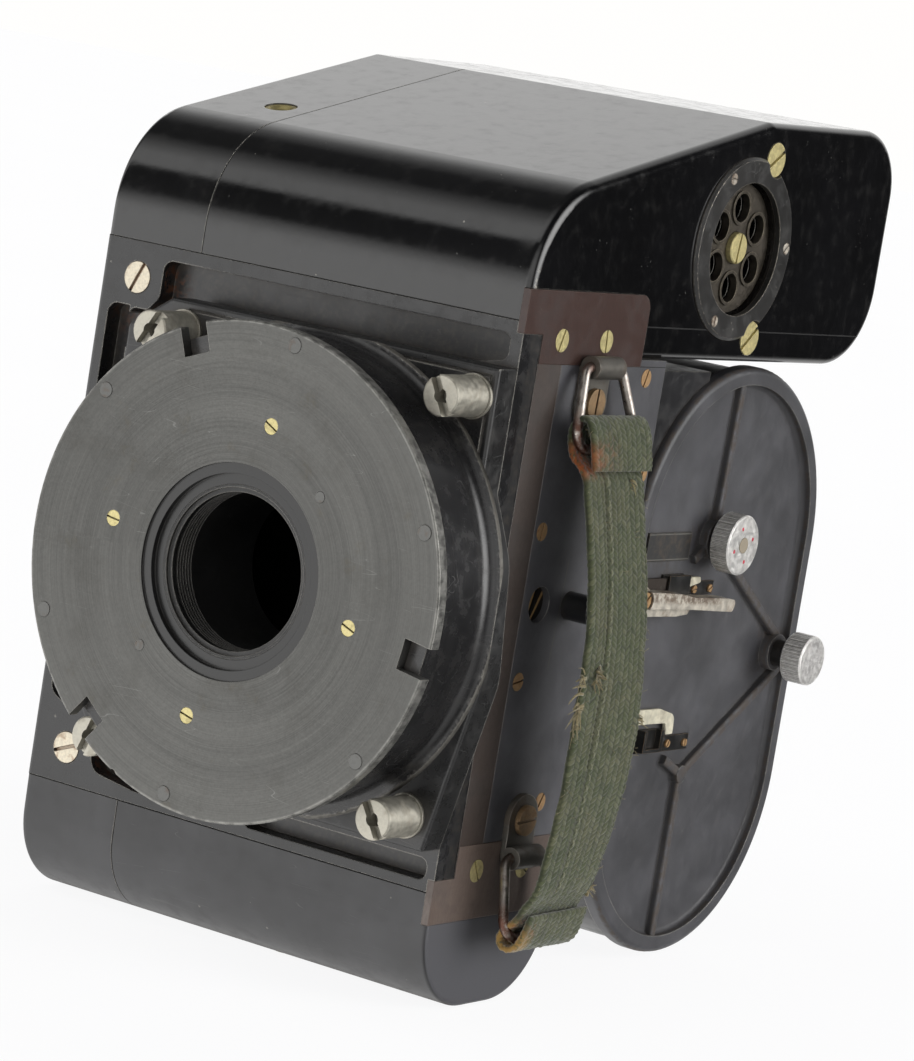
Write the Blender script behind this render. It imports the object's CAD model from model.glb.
"""A film camera with its magazine and a webbing carrying strap.

The lens axis runs along Y through x = z = 0. The front faces -Y, the magazine is at +Y, the
strap hangs on the +X side and +Z is up. Sizes and places are in millimetres unless a comment
says otherwise; MM turns them into scene metres.
"""
import math
from functools import cached_property

import bmesh
import bpy
import numpy as np
from mathutils import Matrix, Vector


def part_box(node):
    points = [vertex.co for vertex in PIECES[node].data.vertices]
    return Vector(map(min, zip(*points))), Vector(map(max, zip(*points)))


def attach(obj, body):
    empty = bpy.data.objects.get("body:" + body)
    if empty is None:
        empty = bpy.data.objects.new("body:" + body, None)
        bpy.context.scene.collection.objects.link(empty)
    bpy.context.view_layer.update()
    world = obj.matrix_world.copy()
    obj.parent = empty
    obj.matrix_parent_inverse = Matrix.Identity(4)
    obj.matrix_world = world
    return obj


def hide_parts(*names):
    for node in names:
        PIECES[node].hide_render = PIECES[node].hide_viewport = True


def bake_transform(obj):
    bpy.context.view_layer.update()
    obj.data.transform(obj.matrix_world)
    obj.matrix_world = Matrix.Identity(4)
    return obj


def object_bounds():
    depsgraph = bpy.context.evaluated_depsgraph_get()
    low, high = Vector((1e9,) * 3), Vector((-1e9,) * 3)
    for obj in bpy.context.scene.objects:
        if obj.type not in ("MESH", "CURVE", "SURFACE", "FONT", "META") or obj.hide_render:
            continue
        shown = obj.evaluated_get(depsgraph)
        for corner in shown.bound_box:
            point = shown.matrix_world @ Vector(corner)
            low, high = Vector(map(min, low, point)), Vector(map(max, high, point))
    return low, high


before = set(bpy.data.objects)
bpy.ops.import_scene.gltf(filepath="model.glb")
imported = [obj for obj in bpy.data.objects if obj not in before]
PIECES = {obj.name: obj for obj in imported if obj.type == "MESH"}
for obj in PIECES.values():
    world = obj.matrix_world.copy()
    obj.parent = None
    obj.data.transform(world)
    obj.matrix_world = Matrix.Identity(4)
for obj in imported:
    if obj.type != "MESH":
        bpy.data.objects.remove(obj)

CAD_BOX = [[float(x) for x in corner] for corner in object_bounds()]
MM = 0.001
SCENE = bpy.context.scene
SCENE.view_settings.view_transform = 'Standard'
SCENE.view_settings.look = 'None'


# ---------------------------------------------------------------- shader graphs
class Value:
    """A node output. Arithmetic on it adds Math nodes; | takes the greater of two masks."""

    def __init__(self, graph, socket):
        self.graph = graph
        self.socket = socket

    def __add__(self, other):
        return self.graph.math('ADD', self, other)

    def __radd__(self, other):
        return self.graph.math('ADD', other, self)

    def __sub__(self, other):
        return self.graph.math('SUBTRACT', self, other)

    def __rsub__(self, other):
        return self.graph.math('SUBTRACT', other, self)

    def __mul__(self, other):
        return self.graph.math('MULTIPLY', self, other)

    def __truediv__(self, other):
        return self.graph.math('DIVIDE', self, other)

    def __or__(self, other):
        return self.graph.math('MAXIMUM', self, other)

    def __lt__(self, other):
        return self.graph.math('LESS_THAN', self, other)

    def __abs__(self):
        return self.graph.math('ABSOLUTE', self)

    def sin(self):
        return self.graph.math('SINE', self)

    def clamped(self):
        """Hold the result of the last Math node between 0 and 1."""
        self.socket.node.use_clamp = True
        return self

    def smooth(self, start, end, at_start, at_end):
        inputs = dict(enumerate((self, start, end, at_start, at_end)))
        return self.graph.make('MapRange', inputs, interpolation_type='SMOOTHSTEP', clamp=True)

    def rise(self, start, end, low=0.0, top=1.0):
        """Climb smoothly from low to top as the value goes from start to end."""
        return self.smooth(start, end, low, top)

    def fall(self, start, end, low=0.0, top=1.0):
        """Drop smoothly from top to low as the value goes from start to end."""
        return self.smooth(start, end, top, low)

    def band(self, centre, half_width, soft=0.06):
        """1 within half_width of centre, with a soft border."""
        return abs(self - centre).fall(half_width - soft, half_width + soft)


class Graph:
    """A node tree that is emptied and then filled by method calls."""

    def __init__(self, tree):
        self.tree = tree
        tree.nodes.clear()

    def node(self, kind, **settings):
        node = self.tree.nodes.new('ShaderNode' + kind)
        for name, value in settings.items():
            setattr(node, name, value)
        return node

    def put(self, socket, value):
        """Link a Value, or store a number or a tuple (padded with 1.0 to the socket's size)."""
        if isinstance(value, Value):
            self.tree.links.new(value.socket, socket)
        elif isinstance(value, tuple):
            missing = len(socket.default_value) - len(value)
            socket.default_value = value + (1.0,) * missing
        else:
            socket.default_value = value

    def make(self, kind, inputs=(), output=0, **settings):
        """Add a node, fill its inputs (index or name: value) and return one output."""
        node = self.node(kind, **settings)
        for key, value in dict(inputs).items():
            self.put(node.inputs[key], value)
        return Value(self, node.outputs[output])

    def split(self, kind, source):
        node = self.make(kind, {0: source}).socket.node
        return [Value(self, socket) for socket in node.outputs]

    def math(self, operation, *operands):
        return self.make('Math', enumerate(operands), operation=operation)

    def measure(self, operation, *vectors):
        """A vector operation that gives a number."""
        return self.make('VectorMath', enumerate(vectors), 'Value', operation=operation)

    def vector(self, *parts):
        return self.make('CombineXYZ', enumerate(parts))

    def blend(self, mask, first, second):
        return self.make('Mix', {0: mask, 6: first, 7: second}, 2, data_type='RGBA')

    def blend_number(self, mask, first, second):
        return self.make('Mix', {0: mask, 2: first, 3: second}, data_type='FLOAT')


class Material(Graph):
    """A Principled material whose colour, roughness and height are built up in layers."""

    INPUTS = dict(color='Base Color', rough='Roughness', metal='Metallic', normal='Normal',
                  sheen='Sheen Weight', sheen_rough='Sheen Roughness',
                  specular='Specular IOR Level', aniso='Anisotropic', tangent='Tangent')
    rough = 0.5

    def __init__(self, name):
        self.data = bpy.data.materials.new(name)
        self.data.use_nodes = True
        super().__init__(self.data.node_tree)
        self.output = self.node('OutputMaterial')
        self.shader = self.make('BsdfPrincipled')
        self.put(self.output.inputs[0], self.shader)
        metres = self.make('TexCoord', output='Object')
        self.place = self.make('VectorMath', {0: metres, 'Scale': 1 / MM}, operation='SCALE')

    @cached_property
    def axes(self):
        return self.split('SeparateXYZ', self.place)

    x = property(lambda self: self.axes[0])
    y = property(lambda self: self.axes[1])
    z = property(lambda self: self.axes[2])

    @cached_property
    def geometry(self):
        return self.node('NewGeometry').outputs

    # -- layers
    def tint(self, mask, color):
        self.color = self.blend(mask, self.color, color)

    def roughen(self, mask, rough):
        self.rough = self.blend_number(mask, self.rough, rough)

    def cover(self, mask, color, rough, share=None):
        """Lay a colour and a roughness under a mask; share thins the colour only."""
        self.tint(mask if share is None else mask * share, color)
        self.roughen(mask, rough)

    def surface(self, **inputs):
        """Connect the layers and any further inputs to the shader."""
        sockets = self.shader.socket.node.inputs
        for name, value in {'color': self.color, 'rough': self.rough, **inputs}.items():
            self.put(sockets[self.INPUTS[name]], value)
        return self.data

    # -- patterns
    def noise(self, scale, detail=3.0, rough=0.5, warp=0.0, at=None):
        return self.make('TexNoise', {'Scale': scale, 'Detail': detail, 'Roughness': rough,
                                      'Distortion': warp, 'Vector': at or self.place})

    def stretched(self, scale, degrees=(0, 0, 0)):
        """The position, turned and scaled along each axis."""
        turn = tuple(math.radians(angle) for angle in degrees)
        return self.make('Mapping', {0: self.place, 'Rotation': turn, 'Scale': scale})

    def near(self, point, inner, outer):
        """1 within inner of a point, fading to 0 at outer."""
        return self.measure('DISTANCE', self.place, point).fall(inner, outer)

    def radial(self):
        """Distance from the lens axis, and the angle round it."""
        distance = self.measure('LENGTH', self.vector(self.x, 0.0, self.z))
        return distance, self.math('ARCTAN2', self.z, self.x)

    def scratches(self, amount, scale=0.05, width=0.0022, gate=0.57):
        """Thin lines in three directions, each broken up by a broad noise above gate."""
        total = None
        for k, degrees in enumerate(((0, 20, 35), (50, 0, -30), (15, 70, 10))):
            along = self.stretched((0.12, 1.0, 1.6), degrees)
            contour = self.noise(scale=scale * (1 + 0.4 * k), detail=1.5, rough=0.35, at=along)
            line = abs(contour - (0.47 + 0.035 * k)).fall(width * 0.35, width)
            broken = self.noise(scale=0.03 * (k + 1.4), detail=2.0).rise(gate, gate + 0.05)
            line = line * broken
            total = line if total is None else total | line
        return total * amount

    def specks(self, scale, size, share):
        """Small dots of varied size in a share of the cells."""
        cells = {'Scale': scale, 'Vector': self.place}
        distance = self.make('TexVoronoi', cells, 'Distance')
        pick, radius, _ = self.split('SeparateColor', self.make('TexVoronoi', cells, 'Color'))[:3]
        picked = pick.fall(share, share + 0.02)
        return (distance < radius * size) * picked

    # -- shape
    def edge(self, radius):
        """A mask of the edges, and the normal rounded over them."""
        rounded = self.make('Bevel', {'Radius': radius * MM}, samples=4)
        flat = self.measure('DOT_PRODUCT', rounded, Value(self, self.geometry['Normal']))
        return (1.0 - flat).clamped(), rounded

    def openness(self, reach):
        """Ambient occlusion: 1 in the open, lower in corners."""
        return self.make('AmbientOcclusion', {'Distance': reach * MM}, 'AO', samples=4)

    def bump(self, height, strength, depth, normal=None):
        """Relief from a height; depth is in metres."""
        inputs = {'Strength': strength, 'Distance': depth, 'Height': height}
        if normal is not None:
            inputs['Normal'] = normal
        return self.make('Bump', inputs)


def scaled(color, factor):
    return tuple(channel * factor for channel in color)


# ---------------------------------------------------------------- paint and metal
DUST = (0.085, 0.072, 0.058)


def paint(name, *, rough, chips, dust, peel, base=(0.011, 0.011, 0.012), rough_spread=0.14,
          edge_radius=0.7, scratch=0.6, cast=0.0, seams=(), detail=None,
          bare=(0.42, 0.40, 0.36), specular=0.5, reach=5.0, specks=0.6):
    """Worn paint over metal.

    chips, dust, scratch and specks are amounts of wear; peel and cast are the coarse and fine
    relief; bare is the metal in the chips; reach is how far corners gather dust. seams are
    dark lines (axis, place, half width). detail adds what one piece alone has.
    """
    mat = Material(name)
    broad = mat.noise(scale=0.022, rough=0.55)
    patches = mat.noise(scale=0.16, detail=4.0, rough=0.6)
    fine = mat.noise(scale=1.7, rough=0.6)
    edge, rounded = mat.edge(edge_radius)
    openness = mat.openness(reach)
    cavity = openness.fall(0.35, 0.9)
    exposed = openness.rise(0.6, 0.9)
    ragged = edge + (mat.noise(scale=0.9, detail=5.0, rough=0.65) - 0.56) * 0.55
    chip = (ragged.rise(0.055, 0.085) * edge.rise(0.01, 0.03) * (exposed * chips)).clamped()
    speck = mat.specks(scale=0.17, size=0.085, share=0.16) * specks
    scratched = mat.scratches(scratch)
    dusty = ((cavity * 0.9 + patches.rise(0.52, 0.8, top=0.25)) * dust).clamped()
    dusty = dusty * fine.rise(0.25, 0.6, low=0.55)

    mat.color = mat.blend(broad.rise(0.35, 0.7), base, scaled(base, 1.7))
    mat.tint(dusty, DUST)
    mat.tint(scratched * 0.5, (0.16, 0.16, 0.155))
    mat.tint(speck, (0.20, 0.19, 0.165))
    mat.tint(chip, bare)
    mat.rough = (rough + patches.rise(0.38, 0.72) * rough_spread
                 + dusty * 0.5 + scratched * 0.3).clamped()
    mat.roughen(chip, 0.42)
    if detail is not None:
        detail(mat)
    for axis, at, half_width in seams:
        mat.cover(getattr(mat, axis).band(at, half_width), (0.002, 0.002, 0.002), rough=0.9)
    height = (mat.noise(scale=0.55, detail=2.0) * peel
              + mat.noise(scale=2.2, rough=0.6) * (peel * 0.25 + cast))
    height = height - (chip + scratched) * 0.25
    return mat.surface(metal=chip * 0.85, specular=specular,
                       normal=mat.bump(height, strength=0.35, depth=0.00035, normal=rounded))


def metal(name, *, base, rough, stain, rough_spread=0.2, stain_color=(0.13, 0.07, 0.035),
          dirt=0.8, dirt_color=(0.03, 0.026, 0.022), edge_radius=0.35, edge_color=None,
          scale=0.6, metalness=1.0, relief=0.12, reach=2.0, detail=None):
    """Bare or plated metal with stains in patches and dirt in the corners.

    stain and dirt are amounts; scale is that of the mottling; reach is how far corners gather
    dirt. detail adds what one piece alone has, and may change the height too.
    """
    mat = Material(name)
    mottle = mat.noise(scale=scale, detail=4.0, rough=0.6)
    blotches = mat.noise(scale=scale * 0.27, detail=4.0, rough=0.62, warp=0.4)
    edge, rounded = mat.edge(edge_radius)
    openness = mat.openness(reach)
    stained = blotches.rise(0.5, 0.66) * stain
    dirty = (openness.fall(0.25, 0.85) * dirt).clamped()

    brighter = tuple(min(1, channel * 1.12) for channel in base)
    mat.color = mat.blend(mottle.rise(0.3, 0.7), scaled(base, 0.82), brighter)
    if edge_color is not None:
        mat.tint(edge.rise(0.03, 0.1) * openness.rise(0.6, 0.9), edge_color)
    mat.tint(stained, stain_color)
    mat.tint(dirty, dirt_color)
    mat.rough = (rough + mottle.rise(0.35, 0.75) * rough_spread + stained * 0.3).clamped()
    shine = ((1.0 - (stained | dirty) * 0.85) * metalness).clamped()
    mat.height = mat.noise(scale=3.0, rough=0.6)
    if detail is not None:
        detail(mat)
    return mat.surface(metal=shine, normal=mat.bump(mat.height, strength=relief,
                                                    depth=0.0002, normal=rounded))


PIECE_MATERIALS = {}


def wear(material, *pieces):
    """Note the pieces that a material goes on."""
    for piece in pieces:
        PIECE_MATERIALS[piece] = material


# ---------------------------------------------------------------- enamelled body
# heights of the seams under the top covers and over the base covers, and the x of the end seam
TOP_SEAM = 98.0
BASE_SEAM = -97.5
END_SEAM = ('x', -66.85, 0.34)


def frame_detail(mat):
    """Dusty casting on the pocket floors and rust in the front corners."""
    inside = mat.y.rise(4.5, 7.2) * mat.y.fall(11.0, 11.4)
    grain = mat.noise(scale=0.5, detail=5.0, rough=0.65).rise(0.42, 0.7)
    mat.tint(inside * grain * 0.55, (0.055, 0.047, 0.038))
    mat.roughen(inside * 0.6, 0.38)
    rust = mat.near((-86.0, 4.0, 84.0), 4.0, 15.0) | mat.near((-75.0, 4.0, -84.0), 3.0, 13.0)
    rust = rust | mat.near((-99.0, 4.0, 72.0), 2.0, 11.0) * 0.6
    rust = rust * mat.noise(scale=0.33, detail=5.0, rough=0.7).rise(0.47, 0.6)
    mat.cover(rust * mat.y.rise(0.6, 2.4), (0.11, 0.042, 0.018), rough=0.85)


def corner_chips(mat):
    """Bare alloy down the front corner of the +X end, and rubbed spots."""
    ragged = mat.noise(scale=0.42, detail=5.0, rough=0.7).rise(0.50, 0.56)
    corner = mat.x.rise(68.2, 69.0) * mat.y.fall(3.5, 7.5) * ragged
    corner = corner * (mat.x + mat.y * -0.22).rise(68.0, 68.9)
    mat.cover(corner, (0.34, 0.32, 0.27), rough=0.5)
    rubbed = (mat.noise(scale=0.8, detail=2.0).rise(0.70, 0.76)
              * mat.noise(scale=0.06, rough=0.6).rise(0.52, 0.62))
    mat.tint(rubbed * 0.5, (0.16, 0.16, 0.15))


def base_end(mat):
    """A greyer +X end face."""
    mat.cover(mat.x.rise(68.6, 69.0), (0.068, 0.068, 0.076), rough=0.44)


def side_detail(mat):
    """Mottling, paint rubbed thin along the front edge, and one long scratch."""
    mottle = mat.noise(scale=0.07, detail=4.0, rough=0.6)
    mat.tint(mottle.rise(0.4, 0.7, top=0.5), (0.034, 0.034, 0.038))
    rubbed = (mat.y.fall(26.9, 29.5)
              * mat.noise(scale=0.25, detail=4.0, rough=0.6).rise(0.48, 0.6))
    mat.tint(rubbed * 0.35, (0.08, 0.07, 0.06))
    scratch = ((mat.y + mat.z * -0.06).band(51.4, half_width=0.13, soft=0.05)
               * (mat.z.rise(-24.0, -20.0) * mat.z.fall(14.0, 18.0)))
    mat.tint(scratch * 0.7, (0.12, 0.115, 0.07))


def turned_detail(mat):
    """Turning marks, and a worn bright line round the barrel foot."""
    radius, angle = mat.radial()
    around = mat.vector(radius * 0.9, mat.y * 1.3, angle * 0.6)
    marks = mat.noise(scale=3.5, rough=0.6, at=around)
    mat.tint(marks.rise(0.45, 0.75, top=0.5), (0.05, 0.048, 0.045))
    worn = (mat.noise(scale=0.35, detail=4.0, rough=0.6).rise(0.5, 0.62)
            * mat.y.rise(-16.5, -15.0))
    mat.tint(worn * abs(radius - 84.0).fall(0.4, 1.6, top=0.5), (0.16, 0.15, 0.14))


GLOSSY = dict(rough=0.10, rough_spread=0.10, chips=1.15, peel=0.10, scratch=0.0, specular=0.62,
              edge_radius=0.6, specks=1.0)
SATIN_BASE = dict(rough=0.40, rough_spread=0.08, dust=0.35, chips=1.1, peel=0.12, scratch=0.7)

wear(paint('enamel_frame', rough=0.2, cast=0.06, dust=0.6, chips=1.0, peel=0.2, scratch=0.5,
           detail=frame_detail, seams=(('z', TOP_SEAM, 0.16), ('z', BASE_SEAM, 0.2))),
     'front_frame')
wear(paint('enamel_top', base=(0.0035, 0.0035, 0.004), dust=0.25,
           seams=(('z', TOP_SEAM, 0.2),), **GLOSSY), 'top_cover_left')
wear(paint('enamel_housing', base=(0.0028, 0.0028, 0.0034), dust=0.2, detail=corner_chips,
           seams=(('z', TOP_SEAM, 0.2), END_SEAM), **GLOSSY), 'top_housing')
wear(paint('enamel_base_left', base=(0.024, 0.024, 0.026),
           seams=(('z', BASE_SEAM, 0.2),), **SATIN_BASE), 'bottom_cover_left')
wear(paint('enamel_base', base=(0.022, 0.022, 0.024), detail=base_end,
           seams=(('z', BASE_SEAM, 0.25), END_SEAM), **SATIN_BASE), 'bottom_cover_right')
wear(paint('enamel_body', rough=0.3, dust=0.5, chips=0.8, peel=0.25, cast=0.04),
     'body_casting')
wear(paint('satin_side_cover', base=(0.062, 0.062, 0.069), rough=0.40, rough_spread=0.12,
           dust=0.4, chips=0.8, peel=0.10, cast=0.05, detail=side_detail, edge_radius=0.4,
           reach=2.5, seams=(('z', 84.0, 0.14), ('z', -82.0, 0.14))), 'side_cover')


# ---------------------------------------------------------------- lens mount
def flange():
    """Grey anodised disc with turning marks, a bright rim and a black centre recess."""
    mat = Material('flange_grey_anodised')
    radius, angle = mat.radial()
    # narrow rings whose strength drifts round the disc
    rings = mat.noise(scale=2.2, detail=4.0, rough=0.7,
                      at=mat.vector(radius * 1.2, angle * 0.35, 0.0))
    wide = mat.noise(scale=0.16, rough=0.6, at=mat.vector(radius * 1.0, angle * 1.2, 3.0))
    blots = mat.noise(scale=0.045, detail=4.0, rough=0.6)
    fine = mat.noise(scale=1.2, detail=4.0, rough=0.6)
    edge, rounded = mat.edge(0.45)
    openness = mat.openness(2.5)
    scratched = mat.scratches(0.45, scale=0.07, width=0.0018, gate=0.56)
    mat.color = mat.blend(rings.rise(0.3, 0.72), (0.078, 0.078, 0.074), (0.112, 0.111, 0.106))
    mat.tint(wide.rise(0.35, 0.7, top=0.45), (0.128, 0.127, 0.12))
    mat.tint(blots.rise(0.5, 0.72, top=0.4), (0.066, 0.064, 0.058))
    yellowed = mat.noise(scale=0.09, detail=5.0, rough=0.7)
    mat.tint(yellowed.rise(0.6, 0.72, top=0.25), (0.098, 0.086, 0.062))
    mat.tint(scratched * 0.45, (0.36, 0.36, 0.35))
    rim = radius.rise(83.0, 84.0) * mat.noise(scale=0.3, rough=0.6).rise(0.3, 0.65)
    mat.tint(rim * 0.6, (0.40, 0.395, 0.37))
    mat.tint(edge.rise(0.05, 0.14) * openness.rise(0.6, 0.9), (0.36, 0.35, 0.32))
    recess = radius.fall(36.5, 36.9)
    mat.tint(recess, (0.012, 0.012, 0.012))
    mat.tint(openness.fall(0.3, 0.8, top=0.8), (0.02, 0.018, 0.016))
    mat.rough = 0.40 + fine.rise(0.3, 0.7) * 0.12
    mat.roughen(recess, 0.3)
    knurl = (angle * 520.0).sin() * radius.rise(84.1, 84.25)
    height = rings * 0.6 + mat.noise(scale=3.0, rough=0.6) * 0.3
    height = height - scratched * 0.4 + knurl * 0.9
    tangent = mat.make('Tangent', direction_type='RADIAL', axis='Y')
    return mat.surface(metal=mat.blend_number(recess, 0.82, 0.0),
                       normal=mat.bump(height, strength=0.16, depth=0.00018, normal=rounded),
                       aniso=mat.blend_number(recess, 0.55, 0.0), tangent=tangent)


wear(paint('semi_gloss_plate', base=(0.012, 0.012, 0.0125), rough=0.26, dust=0.55, chips=1.0,
           peel=0.16, cast=0.03, scratch=0.5), 'mount_plate')
wear(paint('turned_barrel', base=(0.012, 0.012, 0.013), rough=0.2, dust=0.45, chips=0.7,
           peel=0.1, cast=0.03, detail=turned_detail), 'mount_barrel')
wear(flange(), 'lens_flange')
wear(metal('flange_rivets_grey', base=(0.13, 0.13, 0.125), rough=0.42, stain=0.3, dirt=0.9,
           metalness=0.85), 'flange_rivets')
wear(paint('throat_black', base=(0.010, 0.010, 0.010), rough=0.42, rough_spread=0.1, chips=0.5,
           dust=0.15, peel=0.05, reach=2.0), 'threaded_throat')
wear(metal('pillar_dull_nickel', base=(0.44, 0.42, 0.36), rough=0.42, stain=0.22,
           stain_color=(0.16, 0.12, 0.07), dirt_color=(0.02, 0.018, 0.014), scale=0.5,
           metalness=0.75, edge_radius=0.4, edge_color=(0.62, 0.58, 0.5), reach=3.0, dirt=0.95),
     'mount_pillars')


# ---------------------------------------------------------------- screws, levers and wire
ADJUSTER_CENTRE = (38.4, 0.6)  # y, z
ADJUSTER_SLOT_ANGLE = math.radians(28)


def adjuster_detail(mat):
    """A slot packed with black grime, and one tarnished side."""
    dy = mat.y - ADJUSTER_CENTRE[0]
    dz = mat.z - ADJUSTER_CENTRE[1]
    from_slot = abs(dy * math.cos(ADJUSTER_SLOT_ANGLE) + dz * -math.sin(ADJUSTER_SLOT_ANGLE))
    grime = from_slot.fall(1.0, 1.35) | (dy + dz * -0.6).rise(2.3, 3.0)
    mat.cover(grime, (0.008, 0.006, 0.004), rough=0.7)


def lever_detail(mat):
    """Brown tarnish on the upper part, thinner towards the back."""
    brown = ((mat.z + mat.y * 0.05).rise(3.6, 5.6)
             * mat.noise(scale=0.35, detail=4.0, rough=0.65).rise(0.35, 0.6))
    brown = brown * mat.y.fall(160.0, 172.0, low=0.2)
    mat.cover(brown, (0.11, 0.07, 0.045), rough=0.65, share=0.8)


def bar_detail(mat):
    """Dark upper front part."""
    dark = mat.z.rise(-10.0, -4.0) * mat.y.fall(146.0, 152.0)
    dark = dark * mat.noise(scale=0.5, detail=4.0, rough=0.6).rise(0.1, 0.4, low=0.75)
    mat.cover(dark, (0.035, 0.026, 0.020), rough=0.8)


def ring_detail(mat):
    """Brown rust where the wire meets webbing and clip, and small pits."""
    rusty = mat.near((78.0, 28.0, 58.0), 6.0, 14.0) | mat.near((82.5, 28.5, -110.0), 5.0, 13.0)
    clips = mat.near((73.6, 40.0, 84.0), 3.0, 8.0) | mat.near((73.8, 40.0, -87.0), 3.0, 8.0)
    rusty = rusty | clips * 0.8
    rusty = rusty * mat.noise(scale=0.5, detail=4.0, rough=0.65).rise(0.3, 0.55)
    mat.cover(rusty, (0.15, 0.075, 0.055), rough=0.55)
    pits = mat.noise(scale=2.0, rough=0.6).rise(0.6, 0.7)
    mat.tint(pits * 0.6, (0.16, 0.12, 0.10))


wear(metal('frame_screw_plated', base=(0.64, 0.58, 0.46), rough=0.4, stain=0.45,
           stain_color=(0.28, 0.13, 0.05), dirt_color=(0.17, 0.07, 0.025), scale=0.9,
           metalness=0.55, reach=1.6, dirt=0.9), 'frame_screws')
wear(metal('pale_brass_screws', base=(0.56, 0.49, 0.24), rough=0.38, stain=0.3,
           stain_color=(0.20, 0.15, 0.06), dirt_color=(0.05, 0.035, 0.015), scale=1.1,
           metalness=0.7, reach=0.8),
     'flange_screws', 'housing_end_screws', 'vent_screw', 'trim_screws')
# a spare brass that goes on no piece
wear(metal('aged_brass', base=(0.52, 0.42, 0.18), rough=0.36, stain=0.45,
           stain_color=(0.15, 0.095, 0.04), dirt_color=(0.04, 0.026, 0.012), scale=0.8,
           metalness=0.8, reach=1.2))
wear(metal('rusty_brass_screws', base=(0.36, 0.22, 0.10), rough=0.5, stain=0.6,
           stain_color=(0.20, 0.10, 0.045), dirt_color=(0.04, 0.02, 0.01), scale=1.2,
           metalness=0.4, reach=0.8), 'side_cover_screws', 'latch_fasteners')
wear(metal('adjuster_brass', base=(0.46, 0.29, 0.12), rough=0.45, stain=0.5,
           stain_color=(0.20, 0.10, 0.045), dirt_color=(0.03, 0.015, 0.008), scale=0.8,
           metalness=0.5, reach=1.5, detail=adjuster_detail), 'adjuster_screw')
wear(metal('nickel_lever', base=(0.56, 0.52, 0.45), rough=0.42, rough_spread=0.25, stain=0.5,
           stain_color=(0.13, 0.075, 0.035), dirt_color=(0.035, 0.025, 0.016), scale=0.33,
           metalness=0.75, edge_radius=0.5, detail=lever_detail), 'small_screws', 'lock_lever')
wear(metal('latch_bar_cream', base=(0.62, 0.585, 0.46), rough=0.45, stain=0.4,
           stain_color=(0.12, 0.085, 0.045), dirt_color=(0.04, 0.03, 0.02), scale=0.4,
           metalness=0.25, edge_radius=0.5, detail=bar_detail), 'latch_bar')
wear(metal('strap_clip_grey', base=(0.115, 0.108, 0.095), rough=0.45, stain=0.5,
           stain_color=(0.07, 0.045, 0.028), dirt_color=(0.02, 0.016, 0.012), scale=0.45,
           metalness=0.7, edge_radius=0.5, edge_color=(0.30, 0.28, 0.25)), 'strap_clips')
wear(metal('clip_screw_stained', base=(0.30, 0.20, 0.11), rough=0.42, stain=0.5,
           stain_color=(0.20, 0.10, 0.04), scale=0.8, metalness=0.7, reach=1.5),
     'strap_clip_screws')
wear(metal('worn_wire', base=(0.42, 0.385, 0.35), rough=0.26, rough_spread=0.22, stain=0.5,
           stain_color=(0.15, 0.095, 0.07), dirt_color=(0.05, 0.03, 0.02), scale=0.5,
           detail=ring_detail, relief=0.25, reach=1.5), 'upper_d_ring', 'lower_d_ring')


# ---------------------------------------------------------------- laminate trim
def laminate(name, base, along, across):
    """Laminate whose fibres run two ways, with specks, scratches and paler worn edges."""
    mat = Material(name)
    first = mat.noise(scale=1.0, rough=0.6, at=mat.stretched((1.0, 2.6, 0.35)))
    second = mat.noise(scale=1.0, rough=0.6, at=mat.stretched((1.0, 0.35, 2.6)))
    broad = mat.noise(scale=0.05, detail=4.0, rough=0.65)
    edge, rounded = mat.edge(0.4)
    openness = mat.openness(2.0)
    mat.color = mat.blend(first.rise(0.35, 0.7), base, along)
    mat.tint(second.rise(0.45, 0.75, top=0.5), across)
    mat.tint(broad.rise(0.45, 0.7, top=0.6), scaled(base, 0.55))
    mat.tint(mat.specks(scale=0.3, size=0.09, share=0.25) * 0.6, (0.11, 0.085, 0.07))
    mat.tint(mat.scratches(0.8) * 0.4, (0.14, 0.10, 0.08))
    lip = edge.rise(0.05, 0.13) * openness.rise(0.6, 0.9)
    mat.tint(lip * 0.7, (0.13, 0.075, 0.055))
    mat.tint(openness.fall(0.3, 0.85, top=0.7), (0.012, 0.009, 0.007))
    mat.rough = 0.34 + broad.rise(0.4, 0.7) * 0.15
    return mat.surface(normal=mat.bump(first + second, strength=0.12, depth=0.0002,
                                       normal=rounded))


wear(laminate('laminate_red_brown', (0.036, 0.014, 0.010), (0.047, 0.020, 0.014),
              (0.025, 0.013, 0.010)), 'trim_plate_upper')
wear(laminate('laminate_brown', (0.10, 0.074, 0.062), (0.13, 0.098, 0.083),
              (0.08, 0.06, 0.05)), 'trim_plate_lower')
wear(laminate('laminate_dark_strip', (0.050, 0.038, 0.033), (0.064, 0.049, 0.043),
              (0.038, 0.030, 0.027)), 'trim_strip')


# ---------------------------------------------------------------- magazine
def magazine_detail(mat):
    """Brown dust on the tops of the ribs and round the hubs."""
    grain = mat.noise(scale=0.30, detail=5.0, rough=0.65)
    broad = mat.noise(scale=0.05, rough=0.55)
    mat.tint(broad.rise(0.4, 0.7, top=0.5), (0.030, 0.030, 0.033))
    ribs = mat.x.rise(57.2, 59.0) * mat.x.fall(59.35, 59.6) * grain.rise(0.38, 0.58)
    hubs = mat.near((57.0, 168.0, 19.3), 8.0, 18.0) | mat.near((57.0, 226.0, -25.4), 8.0, 21.0)
    hubs = hubs | mat.near((57.0, 136.0, 4.0), 6.0, 20.0) * 0.7
    hubs = hubs * mat.noise(scale=0.22, detail=5.0, rough=0.68).rise(0.45, 0.68)
    mat.cover(ribs * 0.75 | hubs * 0.6, (0.062, 0.047, 0.036), rough=0.75)


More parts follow.
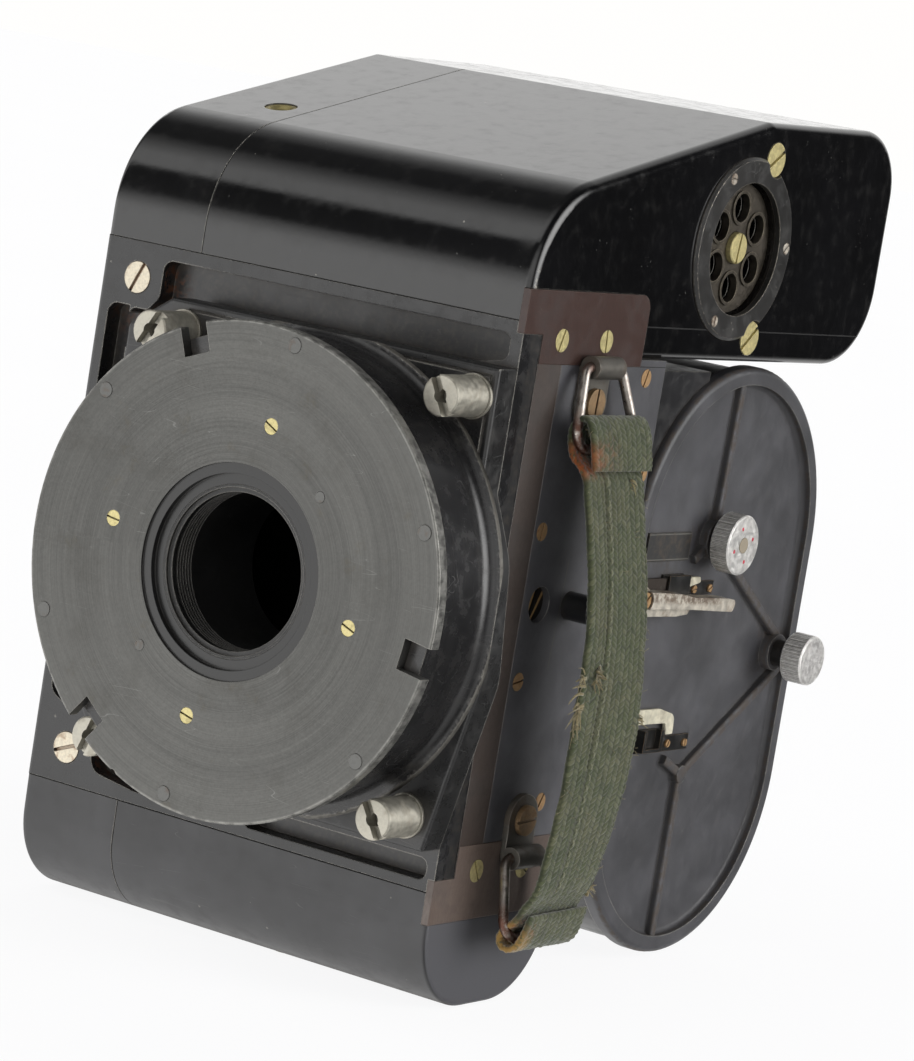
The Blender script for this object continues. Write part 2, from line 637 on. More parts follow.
def knurled(name, centre, ridges, base):
    """Alloy knob knurled round an X axis through centre (y, z)."""
    def detail(mat):
        angle = mat.math('ARCTAN2', mat.z - centre[1], mat.y - centre[0])
        turn = angle * ridges
        slant = mat.x * 6.3
        diamonds = (turn + slant).sin() * (turn - slant).sin()
        true_normal = Value(mat, mat.geometry['True Normal'])
        side = abs(mat.measure('DOT_PRODUCT', true_normal, (1.0, 0.0, 0.0))).fall(0.25, 0.4)
        mat.tint(side * diamonds.fall(-0.6, 0.25) * 0.62, (0.10, 0.085, 0.06))
        mat.height = mat.height + diamonds * side * 1.2
        radius = mat.measure('LENGTH', mat.vector(0.0, mat.y - centre[0], mat.z - centre[1]))
        turning = mat.noise(scale=4.0, detail=2.0, at=mat.vector(radius, 0.0, 0.0))
        mat.height = mat.height + turning * 0.35

    return metal(name, base=base, rough=0.3, rough_spread=0.14, stain=0.12,
                 stain_color=(0.30, 0.26, 0.2), dirt_color=(0.05, 0.04, 0.03), scale=0.5,
                 metalness=0.85, edge_radius=0.4, detail=detail, relief=0.35, reach=1.2,
                 dirt=0.5)


def black_shaft(name, metalness, detail=None):
    return metal(name, base=(0.030, 0.028, 0.027), rough=0.34, stain=0.3,
                 stain_color=(0.05, 0.035, 0.025), metalness=metalness, dirt=0.5,
                 detail=detail)


def tan_end(mat):
    mat.cover(mat.x.rise(70.3, 70.7), (0.33, 0.285, 0.215), rough=0.55)


def label():
    """Dark blank plate with two ruled lines, brown stains and paler edges."""
    mat = Material('label_plate_blank')
    mottle = mat.noise(scale=0.6, detail=4.0, rough=0.6)
    edge, rounded = mat.edge(0.3)
    lines = (mat.z.band(12.0, half_width=0.16, soft=0.05)
             | mat.z.band(21.3, half_width=0.16, soft=0.05))
    mat.color = mat.blend(mottle.rise(0.4, 0.7), (0.018, 0.018, 0.019), (0.034, 0.031, 0.028))
    mat.tint(lines * 0.45, (0.26, 0.25, 0.22))
    stains = mat.noise(scale=0.25, detail=5.0, rough=0.7).rise(0.5, 0.65)
    mat.tint(stains * 0.5, (0.075, 0.055, 0.038))
    mat.tint(edge.rise(0.05, 0.12), (0.14, 0.13, 0.11))
    return mat.surface(rough=0.45, normal=mat.bump(mottle, strength=0.1, depth=0.0002,
                                                   normal=rounded))


wear(paint('magazine_satin', base=(0.046, 0.046, 0.051), rough=0.42, rough_spread=0.1,
           dust=0.45, chips=0.7, peel=0.10, cast=0.05, detail=magazine_detail,
           edge_radius=0.8, scratch=0.5, reach=4.0), 'magazine_cover')
wear(paint('magazine_body_satin', base=(0.011, 0.011, 0.0125), rough=0.30, rough_spread=0.12,
           dust=0.4, chips=0.8, peel=0.12, cast=0.04, edge_radius=0.8), 'magazine_body')
wear(paint('vent_ring_black', base=(0.013, 0.0125, 0.012), rough=0.3, dust=0.5, chips=1.3,
           peel=0.08, edge_radius=0.5, reach=2.0, bare=(0.34, 0.31, 0.26)), 'vent_ring')
wear(metal('vent_disc_bronzed', base=(0.075, 0.065, 0.052), rough=0.38, stain=0.5,
           stain_color=(0.035, 0.027, 0.02), dirt_color=(0.012, 0.01, 0.008), scale=0.5,
           metalness=0.8, edge_radius=0.4, edge_color=(0.30, 0.26, 0.19), reach=2.2),
     'vent_shutter')
wear(knurled('knurled_alloy_one', centre=(169.7, 19.3), ridges=60, base=(0.86, 0.845, 0.82)),
     'advance_knob')
wear(knurled('knurled_alloy_two', centre=(228.3, -25.4), ridges=52, base=(0.90, 0.88, 0.86)),
     'tension_knob')
wear(black_shaft('black_shaft', metalness=0.6), 'tension_shaft')
wear(black_shaft('black_shaft_tan_end', metalness=0.35, detail=tan_end), 'advance_shaft')
wear(paint('button_black', base=(0.012, 0.012, 0.013), rough=0.3, chips=0.6, dust=0.35,
           peel=0.08, edge_radius=0.4), 'push_button')
wear(paint('keeper_black', base=(0.004, 0.004, 0.004), rough=0.3, chips=0.7, dust=0.3,
           peel=0.08, edge_radius=0.4, bare=(0.28, 0.18, 0.09)), 'latch_keepers')
wear(label(), 'label_plate')


# ---------------------------------------------------------------- mechanism
def film():
    """Dark glossy film with fine layers that run along x."""
    mat = Material('film_base')
    tone = mat.noise(scale=0.2)
    layers = mat.noise(scale=2.0, detail=2.0, at=mat.stretched((0.02, 1.0, 1.0)))
    mat.color = mat.blend(tone.rise(0.3, 0.7), (0.030, 0.024, 0.030), (0.052, 0.040, 0.046))
    return mat.surface(rough=layers.rise(0.3, 0.7, low=0.14, top=0.3),
                       normal=mat.bump(layers, strength=0.1, depth=0.0002))


def shutter_cloth():
    """Black woven cloth."""
    mat = Material('shutter_cloth_black')
    weave = (mat.x * 9.0).sin() * ((mat.y + mat.z) * 9.0).sin()
    tone = mat.noise(scale=0.2, rough=0.6)
    mat.color = mat.blend(tone.rise(0.3, 0.7), (0.010, 0.009, 0.009), (0.020, 0.018, 0.017))
    return mat.surface(rough=0.7, sheen=0.3,
                       normal=mat.bump(weave, strength=0.2, depth=0.0002))


wear(metal('brass_insert', base=(0.34, 0.29, 0.13), rough=0.42, stain=0.6,
           stain_color=(0.10, 0.09, 0.045), dirt_color=(0.03, 0.026, 0.014), scale=0.7,
           metalness=0.8), 'threaded_inserts')
wear(metal('machined_steel', base=(0.46, 0.45, 0.43), rough=0.3, stain=0.25, scale=0.4,
           reach=1.5),
     'motor_shaft', 'idler_gear', 'lower_shutter_roller', 'upper_shutter_roller')
wear(metal('bare_alloy', base=(0.52, 0.52, 0.53), rough=0.36, stain=0.15, scale=0.3),
     'shutter_frame', 'pressure_plate', 'supply_spool', 'takeup_spool', 'upper_guide_roller',
     'lower_guide_roller')
wear(paint('motor_grey', base=(0.10, 0.11, 0.115), rough=0.4, chips=0.8, dust=0.4, peel=0.1),
     'drive_motor')
wear(film(), 'film_web', 'supply_film', 'takeup_film')
wear(shutter_cloth(), 'shutter_blind')
wear(paint('socket_moulded', base=(0.014, 0.013, 0.012), rough=0.4, chips=0.0, dust=0.5,
           peel=0.05), 'power_socket')

for piece, piece_object in PIECES.items():
    if piece == 'carrying_strap':
        continue
    if not piece_object.material_slots:
        piece_object.data.materials.append(PIECE_MATERIALS[piece])
    for material_slot in piece_object.material_slots:
        material_slot.material = PIECE_MATERIALS[piece]


# ---------------------------------------------------------------- mesh helpers
def mesh_object(name, points, faces, material, smooth=True):
    """Link a new mesh object; points are in metres."""
    mesh = bpy.data.meshes.new(name)
    mesh.from_pydata(np.asarray(points).tolist(), [], faces)
    mesh.validate()
    mesh.update()
    made = bpy.data.objects.new(name, mesh)
    SCENE.collection.objects.link(made)
    mesh.materials.append(material)
    mesh.polygons.foreach_set('use_smooth', [smooth] * len(mesh.polygons))
    return made


def smooth_curve(points, count):
    """A Catmull-Rom curve through points as count evenly spaced samples, and its length."""
    knots = np.array(points, float)
    padded = np.vstack([2 * knots[0] - knots[1], knots, 2 * knots[-1] - knots[-2]])
    dense = []
    for i in range(len(knots) - 1):
        before, start, end, after = padded[i:i + 4]
        for t in np.linspace(0, 1, 40, endpoint=False):
            dense.append(0.5 * ((2 * start) + (-before + end) * t
                                + (2 * before - 5 * start + 4 * end - after) * t * t
                                + (-before + 3 * start - 3 * end + after) * t ** 3))
    dense.append(knots[-1])
    dense = np.array(dense)
    run = np.r_[0, np.cumsum(np.linalg.norm(np.diff(dense, axis=0), axis=1))]
    even = np.linspace(0, run[-1], count)
    columns = [np.interp(even, run, dense[:, k]) for k in range(dense.shape[1])]
    return np.stack(columns, 1), run[-1]


def tubes(strands, sides):
    """Points and faces of capped tubes; each strand is a path and a radius per path point."""
    points, faces = [], []
    for path, radii in strands:
        path = np.array(path, float)
        count = len(path)
        tangents = np.gradient(path, axis=0)
        tangents /= np.linalg.norm(tangents, axis=1)[:, None] + 1e-12
        across = np.array([0.3, 0.9, 0.2])
        across = across - (across @ tangents[0]) * tangents[0]
        across /= np.linalg.norm(across)
        first = len(points)
        for i in range(count):
            across = across - (across @ tangents[i]) * tangents[i]
            across /= np.linalg.norm(across) + 1e-12
            other = np.cross(tangents[i], across)
            for k in range(sides):
                angle = 2 * math.pi * k / sides
                points.append(path[i] + radii[i] * (math.cos(angle) * across
                                                    + math.sin(angle) * other))
        for i in range(count - 1):
            for k in range(sides):
                here = first + i * sides + k
                beside = first + i * sides + (k + 1) % sides
                faces.append((here, beside, beside + sides, here + sides))
        last = first + (count - 1) * sides
        faces.append(tuple(first + k for k in reversed(range(sides))))
        faces.append(tuple(last + k for k in range(sides)))
    return np.array(points), faces


# ---------------------------------------------------------------- webbing strap
WIRE_RADIUS = 1.8
STRAP_THICKNESS = 2.2
SPLIT_Z = -20.0         # the strap is made as two halves that meet here
ROUTE_SAMPLES = 900
WIDTH_SAMPLES = 116


def ring_bar(piece):
    """x and z of a ring's long bar, from the ring's own box."""
    low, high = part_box(piece)
    return high[0] / MM - WIRE_RADIUS, low[2] / MM + WIRE_RADIUS


UPPER_BAR = ring_bar('upper_d_ring')
LOWER_BAR = ring_bar('lower_d_ring')
STRAP_FRONT, STRAP_BACK = [corner.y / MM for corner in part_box('carrying_strap')]
STRAP_WIDTH = STRAP_BACK - STRAP_FRONT

# x and z from the bar, in order along the strap: over the upper bar, then round the lower one
UPPER_LOOP = [
    (7.6, -6.2), (6.2, -0.5), (4.6, 6.0), (1.6, 10.4), (-2.2, 9.6), (-3.9, 6.2), (-3.4, 1.6),
    (-1.6, -2.9), (2.2, -6.2), (5.2, -10.6),
]
LOWER_LOOP = [
    (4.6, 12.0), (1.6, 6.6), (-1.9, 3.4), (-3.3, 0.2), (-2.2, -2.6), (0.9, -3.3), (3.9, -1.2),
    (5.8, 3.4), (7.6, 10.0),
]
# the back edge's lean towards +X, at heights given as -z
TWIST_DEPTHS = [-60, -24, 8, 36, 52, 76, 96, 115]
TWIST_LEANS = [0.0, -0.8, 0.0, 2.6, 1.8, 0.4, -1.4, 0.0]


def webbing():
    """Olive cotton, shaded by the weave attributes and rusted where it touches the rings."""
    mat = Material('olive_webbing')
    weave, across, thread = [mat.make('Attribute', output='Fac', attribute_name=name)
                             for name in ('weave', 'across', 'thread')]
    broad = mat.noise(scale=0.06, detail=4.0, rough=0.6)
    patches = mat.noise(scale=0.45, detail=4.0, rough=0.65)
    fibres = mat.noise(scale=3.4, rough=0.7)
    faded = mat.noise(scale=0.11, rough=0.6, warp=0.5)
    mat.color = mat.blend(patches.rise(0.3, 0.7), (0.052, 0.064, 0.028), (0.080, 0.092, 0.044))
    mat.tint(broad.rise(0.42, 0.66, top=0.5), (0.098, 0.094, 0.052))
    mat.tint(faded.rise(0.55, 0.7, top=0.6), (0.044, 0.062, 0.032))
    mat.tint(thread.rise(0.55, 1.0, top=0.4), (0.145, 0.145, 0.088))
    mat.tint(thread.fall(0.0, 0.35, top=0.6), (0.036, 0.046, 0.020))
    # shade down between the threads, pale fibres, and grime in the groove
    mat.tint(weave.fall(0.05, 0.55, top=0.78), (0.020, 0.024, 0.012))
    mat.tint(fibres.rise(0.56, 0.72, top=0.3), (0.17, 0.17, 0.11))
    mat.tint(across.band(0.30, half_width=0.012, soft=0.014) * 0.75, (0.022, 0.022, 0.012))

    ragged = mat.noise(scale=0.5, detail=4.0, rough=0.7)
    # bar, place from the bar and front edge, inner and outer radius, noise range, share, colour
    rust = [
        (UPPER_BAR, (5.0, 9.0, -2.0), (3.0, 11.0), (0.46, 0.62), 0.6, (0.20, 0.105, 0.055)),
        (UPPER_BAR, (2.0, 2.0, -3.0), (2.5, 9.0), (0.36, 0.52), 0.95, (0.30, 0.075, 0.018)),
        (LOWER_BAR, (1.0, 1.0, 0.5), (3.0, 9.5), (0.33, 0.5), 0.85, (0.34, 0.20, 0.055)),
        (LOWER_BAR, (3.5, 4.0, 5.0), (2.0, 7.0), (0.46, 0.6), 0.7, (0.24, 0.09, 0.03)),
    ]
    for bar, (x, y, z), radii, noise_range, share, color in rust:
        spot = mat.near((bar[0] + x, STRAP_FRONT + y, bar[1] + z), *radii)
        mat.tint(spot * ragged.rise(*noise_range) * share, color)
    return mat.surface(rough=0.92, sheen=0.35, sheen_rough=0.5, specular=0.2,
                       normal=mat.bump(fibres + patches * 0.5, strength=0.5, depth=0.0003))


def strap_path():
    """x and z points along the strap; the main run follows the CAD strap's own mesh."""
    points = np.array([v.co for v in PIECES['carrying_strap'].data.vertices], float) / MM
    front = points[points[:, 1] < STRAP_FRONT + 0.5]

    def middle(height):
        close = front[np.abs(front[:, 2] - height) < 6.0]
        if len(close) > 3:
            fit = np.polyfit(close[:, 2], close[:, 0], 1)
        else:
            fit = (0, front[:, 0].mean())
        return np.polyval(fit, height)

    heights = np.linspace(points[:, 2].max() - 12.0, points[:, 2].min() + 12.0, 9)
    return ([(UPPER_BAR[0] + x, UPPER_BAR[1] + z) for x, z in UPPER_LOOP]
            + [(middle(z), z) for z in heights]
            + [(LOWER_BAR[0] + x, LOWER_BAR[1] + z) for x, z in LOWER_LOOP])


WEBBING = webbing()
ROUTE, ROUTE_LENGTH = smooth_curve(strap_path(), ROUTE_SAMPLES)
STATIONS = np.linspace(0, ROUTE_LENGTH, ROUTE_SAMPLES)
TWIST = np.interp(-ROUTE[:, 1], TWIST_DEPTHS, TWIST_LEANS)
SAMPLE = np.arange(ROUTE_SAMPLES)


def outward_normals():
    """x and z normals of the route, turned to face +X on the main run."""
    tangents = np.gradient(ROUTE, axis=0)
    tangents /= np.linalg.norm(tangents, axis=1)[:, None]
    normals = np.stack([-tangents[:, 1], tangents[:, 0]], 1)
    return -normals if normals[ROUTE_SAMPLES // 2, 0] < 0 else normals


OUTWARD = outward_normals()
SPLIT = int(np.argmin(np.abs(ROUTE[:, 1] - SPLIT_Z) + 1000 * (SAMPLE < ROUTE_SAMPLES * 0.2)))


def weave_pattern(along, across):
    """Relief (0 to about 1) and tone of the thread at each place on the webbing."""
    random = np.random.default_rng(11)
    columns = 14
    column_pitch = STRAP_WIDTH / 12.5
    row_pitch = 2.05
    rows = int(ROUTE_LENGTH / row_pitch) + 4
    tone = random.random((columns, rows))
    swell = 0.75 + 0.5 * random.random((columns, rows))
    jitter = random.normal(0, 0.13, (columns, rows))
    wobble = (0.35 * np.sin(along / 9.0 + across * 0.3)
              + 0.2 * np.sin(along / 3.7 - across * 0.5))
    column_at = (across + wobble * 0.5) / column_pitch
    column = np.clip(np.floor(column_at).astype(int), 0, columns - 1)
    in_column = column_at - np.floor(column_at)
    lean = (in_column - 0.5) * np.where(column % 2 == 0, 0.75, -0.75)
    row_at = (along + wobble * 0.6) / row_pitch + (column % 2) * 0.5 + lean
    row = np.clip(np.floor(row_at).astype(int), 0, rows - 1)
    in_row = row_at - np.floor(row_at)
    in_row = np.clip(in_row + jitter[column, row] * np.sin(np.pi * in_row), 0, 1)
    relief = (np.sin(np.pi * in_column) ** 0.55) * (np.sin(np.pi * in_row) ** 0.7)
    return relief * swell[column, row], tone[column, row]


def build_strap():
    """The upper and lower halves of the webbing, with its weave in the mesh."""
    along, across = np.meshgrid(STATIONS, np.linspace(0, 1, WIDTH_SAMPLES) * STRAP_WIDTH,
                                indexing='ij')
    share = across / STRAP_WIDTH
    relief, tone = weave_pattern(along, across)
    inner_relief = np.roll(relief, 2, axis=0)
    relief_height = 0.42
    groove = np.exp(-((share - 0.30) / 0.014) ** 2) * 0.45 * (along < ROUTE_LENGTH * 0.62)
    # rounded selvedges, and ends that thin out
    to_edge = np.clip(np.minimum(across, STRAP_WIDTH - across) / 1.3, 0, 1)
    to_end = np.clip(np.minimum(along, ROUTE_LENGTH - along) / 1.2, 0, 1)
    half = ((STRAP_THICKNESS / 2 - relief_height * 0.5)
            * np.sqrt(np.clip(1 - (1 - to_edge) ** 2, 0.04, 1)))
    half = half * (0.45 + 0.55 * to_end)
    outer_half = half + relief_height * relief - groove
    inner_half = half + relief_height * inner_relief
    # the width wanders a little
    y = STRAP_FRONT + across + ((0.30 * np.sin(along / 11.0) + 0.18 * np.sin(along / 2.9))
                                * (np.abs(share - 0.5) * 2))
    x = ROUTE[:, 0][:, None] + (share - 0.5) * TWIST[:, None]
    z = ROUTE[:, 1][:, None]
    normal_x, normal_z = OUTWARD[:, 0][:, None], OUTWARD[:, 1][:, None]
    outer = np.stack([x + normal_x * outer_half, y, z + normal_z * outer_half], -1)
    inner = np.stack([x - normal_x * inner_half, y, z - normal_z * inner_half], -1)

    def around(outer_row, inner_row):
        # one loop per station: outer face front to back, then inner face back to front
        return np.concatenate([outer_row, inner_row[:, ::-1]], axis=1)

    loops = around(outer, inner)
    attributes = {'weave': around(relief, inner_relief), 'thread': around(tone, tone),
                  'across': around(share, share)}
    size = loops.shape[1]

    def part(name, start, end):
        loop = loops[start:end + 1]
        count = loop.shape[0]
        index = np.arange(count * size).reshape(count, size)
        here, following = index[:-1], index[1:]
        faces = np.stack([here, np.roll(here, -1, 1), np.roll(following, -1, 1), following],
                         -1).reshape(-1, 4).tolist()
        for row, flip in ((index[0].tolist(), False), (index[-1].tolist(), True)):
            for k in range(size // 2 - 1):
                face = [row[k], row[size - 1 - k], row[size - 2 - k], row[k + 1]]
                faces.append(face[::-1] if flip else face)
        made = mesh_object(name, loop.reshape(-1, 3) * MM, faces, WEBBING)
        for label_name, values in attributes.items():
            attribute = made.data.attributes.new(label_name, 'FLOAT', 'POINT')
            flat = values[start:end + 1].reshape(-1).astype(np.float32)
            attribute.data.foreach_set('value', flat)
        working = bmesh.new()
        working.from_mesh(made.data)
        bmesh.ops.recalc_face_normals(working, faces=working.faces)
        working.to_mesh(made.data)
        working.free()
        return made

    return {'upper': part('strap_upper', 0, SPLIT),
            'lower': part('strap_lower', SPLIT, ROUTE_SAMPLES - 1)}


def strap_point(i, share, lift):
    """A point lift above the strap's middle layer, at a route sample and share of the width."""
    return np.array([ROUTE[i, 0] + (share - 0.5) * TWIST[i] + OUTWARD[i, 0] * lift,
                     STRAP_FRONT + share * STRAP_WIDTH,
                     ROUTE[i, 1] + OUTWARD[i, 1] * lift])


def half_at(i):
    return 'upper' if i < SPLIT else 'lower'


def strand_objects(name, strands, sides, material):
    """One object of tubes for each half of the strap."""
    made = {}
    for half in ('upper', 'lower'):
        points, faces = tubes(strands[half], sides)
        made[half] = mesh_object(f'{name}_{half}', points * MM, faces, material)
    return made


def thread_material():
    mat = Material('sewing_thread')
    tone = mat.noise(scale=1.2, rough=0.6)
    mat.color = mat.blend(tone.rise(0.3, 0.7), (0.15, 0.155, 0.09), (0.24, 0.24, 0.165))
    return mat.surface(rough=0.85, sheen=0.4,
                       normal=mat.bump((mat.z * 14.0).sin(), strength=0.3, depth=0.0002))


def fray_material():
    mat = Material('frayed_cotton')
    tone = mat.noise(scale=0.9, rough=0.6)
    mat.color = mat.blend(tone.rise(0.3, 0.7), (0.15, 0.125, 0.058), (0.27, 0.225, 0.12))
    return mat.surface(rough=0.95, sheen=0.4,
                       normal=mat.bump(mat.noise(scale=6.0, detail=2.0), strength=0.3,
                                       depth=0.0002))


def stitches(material):
    """A running stitch a third of the way across, and one row across each folded end."""
    radii = [0.12, 0.30, 0.34, 0.34, 0.30, 0.12]
    running_lifts = [0.7, 1.25, 1.42, 1.42, 1.25, 0.7]
    end_lifts = [0.7, 1.25, 1.4, 1.4, 1.25, 0.7]
    strands = {'upper': [], 'lower': []}
    random = np.random.default_rng(3)

    def sample_at(distance):
        return int(np.clip(np.searchsorted(STATIONS, distance), 2, ROUTE_SAMPLES - 3))

    distance = 32.0
    while distance < ROUTE_LENGTH * 0.80:
        start, end = sample_at(distance), sample_at(distance + 2.5)
        samples = np.linspace(start, end, 6).astype(int)
        share = 0.345 + random.normal(0, 0.004)
        path = [strap_point(i, share + 0.006 * k / 5, lift)
                for k, (i, lift) in enumerate(zip(samples, running_lifts))]
        strands[half_at(end)].append((path, radii))
        distance += 3.9
    for half, distance in (('upper', 4.0), ('lower', ROUTE_LENGTH - 4.5)):
        row = sample_at(distance)
        share = 0.05
        while share < 0.94:
            i = row + int(1.5 * math.sin(9 * share))
            path = [strap_point(i, at, lift)
                    for at, lift in zip(np.linspace(share, share + 0.055, 6), end_lifts)]
            strands[half].append((path, radii))
            share += 0.088
    return strand_objects('strap_stitching', strands, 7, material)


# height, share of the width, strands, length, spread, outward direction, lift
TUFTS = [
    (-18.0, 0.20, 16, 4.2, 0.55, (0.75, -0.55, 0.15), 1.1),
    (-19.0, 0.0, 10, 4.5, 0.45, (0.1, -1.0, 0.1), 0.6),
    (-29.0, 0.0, 15, 5.0, 0.45, (0.15, -0.9, -0.5), 0.6),
    (-34.0, 0.02, 9, 4.5, 0.4, (0.2, -0.7, -0.9), 0.6),
    (-34.0, 1.0, 7, 2.4, 0.6, (0.5, 1.0, 0.1), 0.6),
    (-96.0, 1.0, 9, 2.6, 0.6, (0.6, 0.9, 0.2), 0.6),
    (46.0, 0.75, 7, 1.8, 0.7, (1.0, 0.0, -0.6), 1.1),
]
STRAY_FIBRES = 150


def frays(material):
    """Tufts of broken thread, and short stray fibres over faces and edges."""
    random = np.random.default_rng(21)
    strands = {'upper': [], 'lower': []}
    in_loops = (SAMPLE < ROUTE_SAMPLES * 0.16) | (SAMPLE > ROUTE_SAMPLES * 0.86)
    droop = np.array([0.15, 0, -0.45])
    for height, share, count, length, spread, outward, lift in TUFTS:
        i = int(np.argmin(np.abs(ROUTE[:, 1] - height) + 1000 * in_loops))
        root = strap_point(i, share, lift)
        for _ in range(count):
            way = np.array(outward, float) + random.normal(0, spread, 3)
            way /= np.linalg.norm(way)
            base = root + random.normal(0, 1.0, 3) * np.array([0.25, 0.35, 1.6])
            curl = random.normal(0, 0.75, 3)
            reach = length * (0.35 + 0.75 * random.random())
            path = [base - way * 1.2]
            for t in np.linspace(0, 1, 9):
                path.append(base + way * reach * t + curl * reach * 0.5 * t * t
                            + droop * reach * t * t)
            radii = np.linspace(0.62, 0.16, len(path)) * (0.35 + 0.95 * random.random())
            strands['upper' if height > SPLIT_Z else 'lower'].append((path, radii))
    for k in range(STRAY_FIBRES):
        i = int(random.integers(30, ROUTE_SAMPLES - 30))
        share = random.random()
        if k % 3 == 0:
            share = 0.0 if share < 0.5 else 1.0
        base = strap_point(i, share, 1.05)
        way = np.array([OUTWARD[i, 0], (share - 0.5) * 2.2, OUTWARD[i, 1]])
        way = way + random.normal(0, 0.7, 3)
        way /= np.linalg.norm(way)
        curl = random.normal(0, 0.8, 3)
        reach = 0.7 + 1.1 * random.random()
        path = [base + way * reach * t + curl * reach * 0.5 * t * t
                for t in np.linspace(-0.2, 1, 5)]
        strands[half_at(i)].append((path, [0.07] * 5))
    return strand_objects('strap_frays', strands, 5, material)


strap = build_strap()
thread_look, fray_look = thread_material(), fray_material()
strap_layers = [strap, stitches(thread_look), frays(fray_look)]

for webbing_half in strap.values():
    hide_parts('carrying_strap')

# each half follows its ring near the bar and the camera further along; the last two columns
# are the heights from the bar where the blend starts and ends
for half_name, (bar_x, bar_z), blend_start, blend_end in (('upper', UPPER_BAR, -4, -48),
                                                          ('lower', LOWER_BAR, 6, 50)):
    for layer in strap_layers:
        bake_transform(layer[half_name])


# ---------------------------------------------------------------- dots on the advance knob
def red_fill():
    mat = Material('red_paint_fill')
    tone = mat.noise(scale=2.0, rough=0.6)
    mat.color = mat.blend(tone.rise(0.35, 0.65), (0.42, 0.02, 0.045), (0.60, 0.06, 0.09))
    return mat.surface(rough=0.45, normal=mat.bump(tone, strength=0.2, depth=0.0001))


def knob_dots():
    """Four slightly uneven domes of paint on the knob's outer face."""
    low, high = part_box('advance_knob')
    face_x = high.x / MM
    centre_y = (low.y + high.y) / 2 / MM
    centre_z = (low.z + high.z) / 2 / MM
    circle_radius = 6.5
    sides = 14
    profile = [(0.75, -0.05), (0.72, 0.07), (0.45, 0.12)]  # radius, height over the face
    crown = 0.13
    points, faces = [], []
    for k, degrees in enumerate((110, 20, -70, -160)):
        angle = math.radians(degrees)
        y = centre_y + circle_radius * math.cos(angle)
        z = centre_z + circle_radius * math.sin(angle)
        first = len(points)
        for radius, height in profile:
            for j in range(sides):
                turn = 2 * math.pi * j / sides
                uneven = radius * (1 + 0.10 * math.sin(3 * turn + k))
                points.append((face_x + height, y + uneven * math.cos(turn),
                               z + uneven * math.sin(turn)))
        points.append((face_x + crown, y, z))
        rings = [[first + ring * sides + j for j in range(sides)] for ring in range(3)]
        for lower, upper in zip(rings, rings[1:]):
            for j in range(sides):
                following = (j + 1) % sides
                faces.append((lower[j], lower[following], upper[following], upper[j]))
        for j in range(sides):
            faces.append((rings[2][j], rings[2][(j + 1) % sides], first + 3 * sides))
        faces.append(tuple(reversed(rings[0])))
    dots = mesh_object('advance_knob_dots', np.array(points) * MM, faces, red_fill())
    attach(dots, 'advance')


knob_dots()


# ---------------------------------------------------------------- floor
def floor():
    """A pale, mostly self-lit floor just below the camera; sizes in metres."""
    half_size = 9.0
    gap = 0.0006
    mat = Material('pale_floor')
    tone = mat.noise(scale=0.004)
    mat.color = mat.blend(tone.rise(0.3, 0.7), (0.86, 0.86, 0.865), (0.90, 0.90, 0.90))
    mat.surface(rough=0.8, specular=0.1)
    glow = mat.make('Emission', {'Color': (0.985, 0.985, 0.99), 'Strength': 1.07})
    glow_share = 0.86
    mixed = mat.make('MixShader', {0: glow_share, 1: mat.shader, 2: glow})
    mat.put(mat.output.inputs[0], mixed)

    z = CAD_BOX[0][2] - gap
    corners = [(x * half_size, y * half_size, z) for x, y in ((-1, -1), (1, -1), (1, 1), (-1, 1))]
    made = mesh_object('floor', corners, [(0, 1, 2, 3)], mat.data, smooth=False)
    made.visible_glossy = False
    made.visible_diffuse = False


floor()

# ---------------------------------------------------------------- studio light
# brightness round the X axis: degrees (-90 is the floor, 0 the front, 90 overhead, 180 the
# back), level
RING_LEVELS = [
    (-180, 0.75), (-140, 0.9), (-90, 1.25), (-45, 1.8), (-20, 2.1), (2, 2.1), (14, 0.9),
    (20, 0.10), (44, 0.05), (49, 1.45), (62, 1.35), (76, 0.5), (86, 0.06), (108, 0.05),
    (124, 0.38), (138, 0.93), (150, 1.12), (172, 1.2), (180, 1.1),
]
RING_SCALE = 2.5        # keeps the levels below 1 inside the colour ramp
# direction, full and zero angle from it in degrees, strength
LOBES = [
    ((0.90, 0.33, 0.24), 6, 33, 5.6),
    ((0.55, -0.80, 0.10), 8, 40, 1.3),
    ((0.75, 0.0, -0.66), 5, 40, 0.8),
]
BASE_LEVEL = 0.035
SEEN_LEVEL = 1.0        # what the camera itself sees


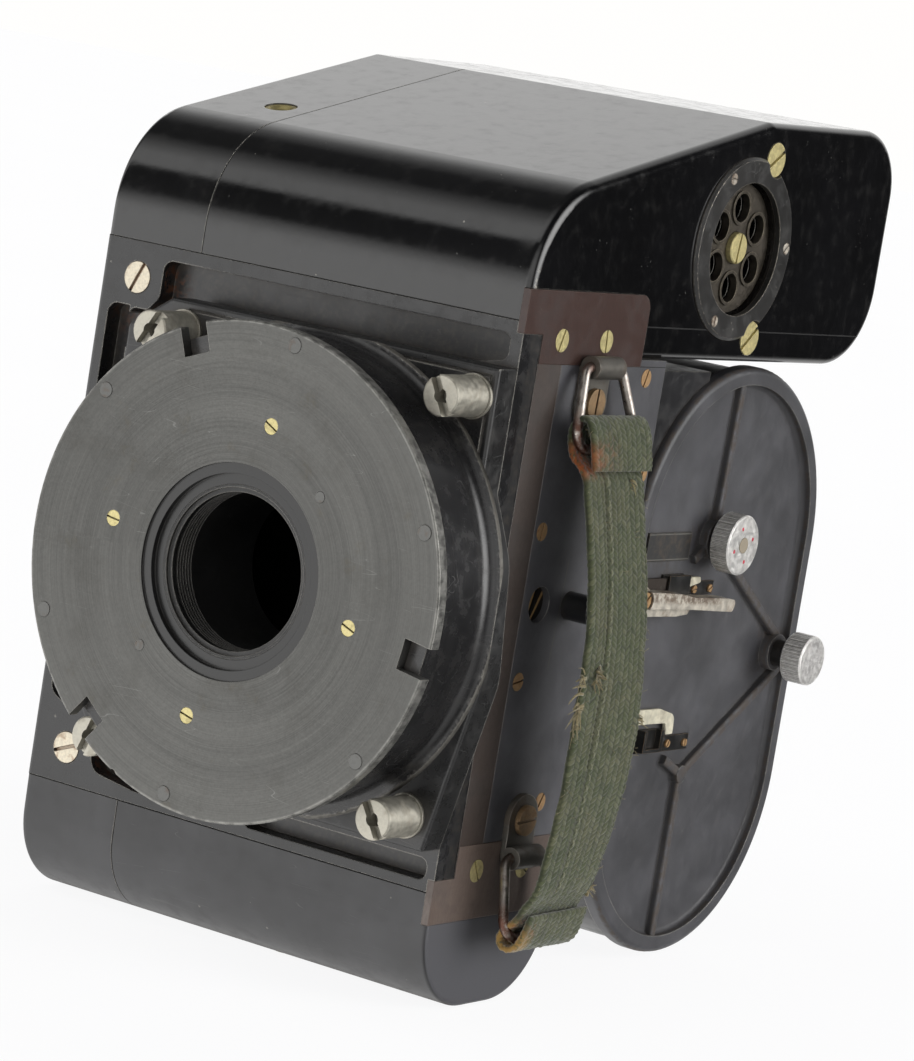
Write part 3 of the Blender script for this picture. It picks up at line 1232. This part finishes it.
def studio():
    """A world of soft panels, seen by the camera as plain white."""
    world = bpy.data.worlds.new('studio')
    SCENE.world = world
    world.use_nodes = True
    graph = Graph(world.node_tree)
    toward = graph.make('VectorMath', {0: graph.make('TexCoord', output='Generated')},
                        operation='NORMALIZE')
    x, y, z = graph.split('SeparateXYZ', toward)
    angle = graph.math('ARCTAN2', z, y * -1.0)
    ramp = graph.make('ValToRGB', {0: (angle / (2 * math.pi) + 0.5).clamped()})
    stops = ramp.socket.node.color_ramp.elements
    for degrees, level in RING_LEVELS:
        position = (degrees + 180) / 360.0
        if position == 0:
            stop = stops[0]
        elif position == 1:
            stop = stops[len(stops) - 1]
        else:
            stop = stops.new(position)
        stop.color = (level / RING_SCALE,) * 3 + (1,)
    light = ramp * RING_SCALE * x.fall(0.02, 0.36)
    for direction, full, zero, strength in LOBES:
        cosine = graph.measure('DOT_PRODUCT', toward, tuple(Vector(direction).normalized()))
        light = light + cosine.rise(math.cos(math.radians(zero)), math.cos(math.radians(full)),
                                    top=strength)
    seen = graph.make('LightPath', output='Is Camera Ray')
    level = graph.blend_number(seen, light + BASE_LEVEL, SEEN_LEVEL)
    background = graph.make('Background', {'Color': (1.0, 0.995, 0.985), 'Strength': level})
    graph.put(graph.node('OutputWorld').inputs[0], background)


studio()


# ---------------------------------------------------------------- camera
def camera():
    """Looks from the front and the +X side, a little above, rolled."""
    azimuth, elevation, roll = [math.radians(a) for a in (32.685, 7.112, 9.207)]
    data = bpy.data.cameras.new('cam')
    made = bpy.data.objects.new('cam', data)
    SCENE.collection.objects.link(made)
    SCENE.camera = made
    back = Vector((math.sin(azimuth) * math.cos(elevation),
                   -math.cos(azimuth) * math.cos(elevation), math.sin(elevation)))
    right = (-back).cross(Vector((0, 0, 1))).normalized()
    up = right.cross(-back).normalized()
    rolled_right = right * math.cos(roll) + up * math.sin(roll)
    rolled_up = -right * math.sin(roll) + up * math.cos(roll)
    pose = Matrix((rolled_right, rolled_up, back)).transposed().to_4x4()
    pose.translation = Vector((0.825817, -1.200203, 0.202659))  # metres
    made.matrix_world = pose
    data.sensor_fit = 'VERTICAL'
    data.sensor_height = 36.0
    data.lens = 145.76980207
    data.clip_start = 0.05
    data.clip_end = 60


camera()
